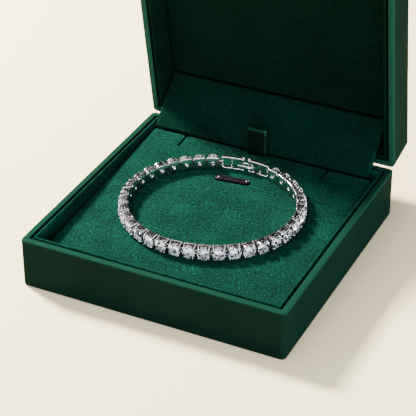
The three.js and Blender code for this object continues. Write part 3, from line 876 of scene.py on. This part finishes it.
def shadeInside(piece, distance):
    # point attribute of painted shade, from a point's place in its own link: 1 on the plate's front and the
    # lugs, less on the wires, the claws' feet and the plate's border
    level = (meshPoints(piece) - [0, 0, slope["height"]]) @ slopeAxes.T
    origin, axes = loopAxes(distance)
    x, y, z = ((level - origin) @ axes.T - [0, 0, mid]).T
    front = back - link["plate"] + 0.05
    claws = np.minimum(np.abs(x), np.abs(z)) > shade["clawStart"]
    share = np.where(y > link["lugInset"], 1.0, shade["wire"]) * ((y > shade["wireStart"]) & (y < front))
    share = np.where(claws & (y < front + 0.3), shade["foot"] * np.clip((y + 0.3) / 0.5, 0, 1), share)
    flank = (np.abs(x) > linkWidth / 2 - 0.12) & (y > 0.6) & (y < back - 0.1)
    share = np.where(flank & (np.abs(z) < shade["flankEnd"]), shade["flank"], share)
    border = (y > back - 0.1) & ((np.abs(x) > 1.5) | (z < -1.5)) & (z < shade["flankEnd"])
    addShare(piece, "paintedShade", np.where(border, shade["border"], share))


settingBody = joinShapes([piercedPlate(), *[claw(a, b) for a in (-1, 1) for b in (-1, 1)],
                          wireRing(**innerWire), wireRing(**outerWire),
                          sphere((linkWidth / 2 + 0.08, back - 0.1, mid + 1.35), link["bead"]), *lugParts()])
lugReach = link["lugRadius"] + link["play"] + 0.21
tongueLink, earsLink = joinShapes(tongueShape(lugReach)), joinShapes(earShapes(lugReach))
rng = np.random.default_rng(21)
for count in range(1, loop["links"] + 1):
    joint = claspArc + (count - 1) * pitch
    points, faces = joinShapes([atLoop(settingBody, joint + pitch / 2), atLoop(tongueLink, joint),
                                atLoop(earsLink, joint + pitch)])
    setting = addPiece(f"setting_{count:02d}", (onPad(points), faces), gold, smooth=38)
    shadeInside(setting, joint + pitch / 2)
    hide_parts(f"link_{count:02d}")
    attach(setting, "root")
    cut, reflectionTones = brilliantShape(rng.uniform(0, math.pi / 4))
    points, faces = atLoop(cut, joint + pitch / 2)
    brilliant = addPiece(f"brilliant_{count:02d}", (onPad(points), faces), stone, smooth=1)
    # each facet's painted reflection tone
    addShare(brilliant, "facetPaintedReflection", reflectionTones, "FACE")
    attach(brilliant, "root")
print("links and stones made, pitch", round(pitch, 3), "mm")


clasp = dict(parting=1.3, depth=1.5, frameDepth=1.8, frameRail=0.75, rail=0.5, post=0.5, knob=0.36, bead=0.3,
             neck=0.17, tongueHigh=0.72, tongueThick=0.27, tonguePast=0.6)
catch = dict(length=5.3, inset=1.4, height=1.1, thickness=0.6048, pin=0.22, play=0.11, hubWall=0.22,
             padStart=1.0, padEnd=2.4, padLift=0.16, grip=0.3, gripLift=0.14)
bracket = dict(leaf=0.15, arm=0.3, side=0.42, head=0.28, pin=0.2)
frameLength = (claspArc - clasp["parting"]) / 2
gap = link["lugRadius"] + link["play"]
rightStart, rightEnd = gap, frameLength
leftStart, leftEnd = rightEnd + clasp["parting"], claspArc - gap


def rail(start, end, level):
    # rounded bar that follows the loop
    stops = start + endStops(end - start, 0.25, 10)
    return sweep(alongLoop(stops, level), (0, 0, 1), clasp["rail"] / 2, clasp["depth"] / 2, power=3,
                 sides=16, endRound=0.25)


def claspPost(at, wide):
    origin, axes = loopAxes(at)
    inset = clasp["rail"] * 0.5
    return placeShape(bar((0, 0, inset), (0, 0, band["height"] - inset), (1, 0, 0), wide / 2,
                          clasp["depth"] / 2 - 0.05), origin, axes)


def openFrame(start, end, lugSide):
    # two rails, a post at each end and one between, and a bead at the foot of both posts nearer to the lug
    low, high = clasp["rail"] / 2, band["height"] - clasp["rail"] / 2
    lugAt = start if lugSide < 0 else end
    inset = clasp["post"] / 2
    middlePost = lugAt - lugSide * frameLength * 0.4
    shapes = [rail(start, end, low), rail(start, end, high), claspPost(start + inset, clasp["post"]),
              claspPost(end - inset, clasp["post"]), claspPost(middlePost, clasp["post"])]
    for at in (lugAt - lugSide * (inset + 0.1), middlePost):
        shapes.append(atLoop(sphere((0, clasp["depth"] / 2, clasp["rail"] + 0.15), clasp["bead"], 9), at))
    return shapes


def railKnob(at):
    # ball on a short neck at the top rail's end
    top = band["height"]
    neck = bar((0, 0, top - 0.2), (0, 0, top + 0.15), (1, 0, 0), clasp["neck"], clasp["neck"], power=2)
    return atLoop(joinShapes([neck, sphere((0, 0, top + 0.12), clasp["knob"], 9, stretch=(1, 1, 0.8))]), at)


def chordAxes(at):
    # axes along the straight chord that the catch spans
    start, end = loopPoint(np.interp([at, at + catch["length"]], loopRun, loopAngles))
    return axesAlong(start, end - start)


catchHub = catch["pin"] + catch["play"] + catch["hubWall"]
catchY = clasp["frameDepth"] / 2 + catch["play"] + catchHub
pinAt = rightEnd - clasp["frameRail"] - catch["inset"]


def catchBracket():
    # two leaves from the right frame's end post to the pin, which stands through both
    half, leaf, out = catch["height"] / 2 + catch["play"], bracket["leaf"], catch["inset"] + 0.5
    end, pin, wide, arm = half + 2 * leaf, bracket["pin"], bracket["side"], bracket["arm"]
    shapes = [bar((0, catchY, mid - end), (0, catchY, mid + end), (1, 0, 0), pin, pin, power=2)]
    for side in (-1, 1):
        level = mid + side * (half + leaf)
        shapes += [bar((0, 0.35, level), (0, catchY + 0.3, level), (0, 0, 1), leaf, wide, ends=0.12),
                   bar((-0.3, 0.3, level), (out, 0.3, level), (0, 0, 1), leaf, arm, ends=0.12),
                   sphere((0, catchY, mid + side * end), bracket["head"], 7, stretch=(1, 1, 0.6))]
    return placeShape(joinShapes(shapes), *chordAxes(pinAt))


def catchShape():
    # eye round the pin, flat lever, a raised pad over the pin and a rolled thumb grip at the free end
    bore, high = catch["pin"] + catch["play"], catch["height"] / 2
    eye = turnedRing(catchY, [(bore, -high), (catchHub - 0.05, -high), (catchHub, 0.06 - high),
                              (catchHub, high - 0.06), (catchHub - 0.05, high), (bore, high)])
    lever = bar((bore + 0.1, catchY, mid), (catch["length"], catchY, mid), (0, 0, 1), high - 0.04,
                catch["thickness"] / 2, power=2.8, middle=6)
    start, end, y = catch["padStart"], catch["padEnd"], catchY + catch["padLift"]
    plate = bar((start, y, mid), (end, y, mid), (0, 0, 1), high * 0.72, 0.26, power=3)
    end, y = catch["length"] - 0.35, catchY + catch["gripLift"]
    grip = bar((end, y, mid - high), (end, y, mid + high), (1, 0, 0), catch["grip"], catch["grip"], 2.4)
    return placeShape(joinShapes([eye, lever, plate, grip]), *chordAxes(pinAt))


def claspTongue():
    # flat blade of the left frame that stands in the parting
    start, end = 0.3 - clasp["parting"] / 2, clasp["parting"] / 2 + clasp["frameRail"] + clasp["tonguePast"]
    high, thick = clasp["tongueHigh"], clasp["tongueThick"]
    blade = bar((start, 0, mid), (end, 0, mid), (0, 0, 1), high, thick, ends=0.12)
    return atLoop(blade, (leftStart + rightEnd) / 2)


def finishClasp(name, shapes, node, body):
    points, faces = joinShapes(shapes)
    piece = addPiece(name, (onPad(points), faces), gold, smooth=38)
    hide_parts(node)
    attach(piece, body)


lugReach = gap + clasp["frameRail"] / 2
rightFrame = [*openFrame(rightStart, rightEnd, -1), railKnob(rightEnd - 0.3), catchBracket(),
              atLoop(joinShapes(tongueShape(lugReach)), 0)]
leftFrame = [*openFrame(leftStart, leftEnd, 1), railKnob(leftStart + 0.3), claspTongue(),
             atLoop(joinShapes(earShapes(lugReach)), claspArc)]
finishClasp("claspFrameRight", rightFrame, "clasp_frame_right", "root")
finishClasp("claspFrameLeft", leftFrame, "clasp_frame_left", "root")
finishClasp("claspCatch", [catchShape()], "clasp_catch", "catch")
print("clasp made")


view = dict(place=(190.33, -397.55, 299.43), target=(-21.01, 39.69, -13.53), lens=141.15)


def addCamera():
    data = bpy.data.cameras.new("camera")
    data.lens, data.sensor_width = view["lens"], 36
    camera = bpy.data.objects.new("camera", data)
    bpy.context.collection.objects.link(camera)
    camera.location = Vector(view["place"]) * mm
    towards = Vector(view["target"]) - Vector(view["place"])
    camera.rotation_euler = towards.to_track_quat("-Z", "Y").to_euler()
    data.clip_start, data.clip_end = 0.01, 20
    bpy.context.scene.camera = camera


def areaLight(name, place, target, size, power, colour="#ffffff"):
    data = bpy.data.lights.new(name, "AREA")
    data.shape = "RECTANGLE"
    data.size, data.size_y = size[0] * mm, size[1] * mm
    data.energy = power
    data.color = linear(colour)[:3]
    light = bpy.data.objects.new(name, data)
    bpy.context.collection.objects.link(light)
    light.location = Vector(place) * mm
    light.rotation_euler = (Vector(target) - Vector(place)).to_track_quat("-Z", "Y").to_euler()
    return light


addCamera()
areaLight("keyLight", (-460, 127, 440), (0, 0, 15), (110, 110), 23.8, "#fff3e0")
areaLight("topLight", (-120, -60, 620), (0, 0, 15), (1000, 800), 5.2)
areaLight("frontLight", (200, -620, 200), (0, 0, 20), (760, 360), 7.3, "#f8f8ff")
areaLight("sideLight", (640, 20, 24), (0, 0, 30), (420, 46), 10)

world = bpy.data.worlds.new("studio")
bpy.context.scene.world = world
world.use_nodes = True
world.node_tree.nodes["Background"].inputs[0].default_value = linear("#d9dadb")
world.node_tree.nodes["Background"].inputs[1].default_value = 0.12

floorMaterial = newMaterial("paleCard")
finishMaterial(floorMaterial, {}, **{"Base Color": linear("#fff0c4"), "Roughness": 0.8})
floorCorners = np.array([[-3000, -3000, 0], [3000, -3000, 0], [3000, 3000, 0], [-3000, 3000, 0]], float)
floor = addPiece("floor", (floorCorners, [[0, 1, 2, 3]]), floorMaterial)
print("camera, light and floor set")
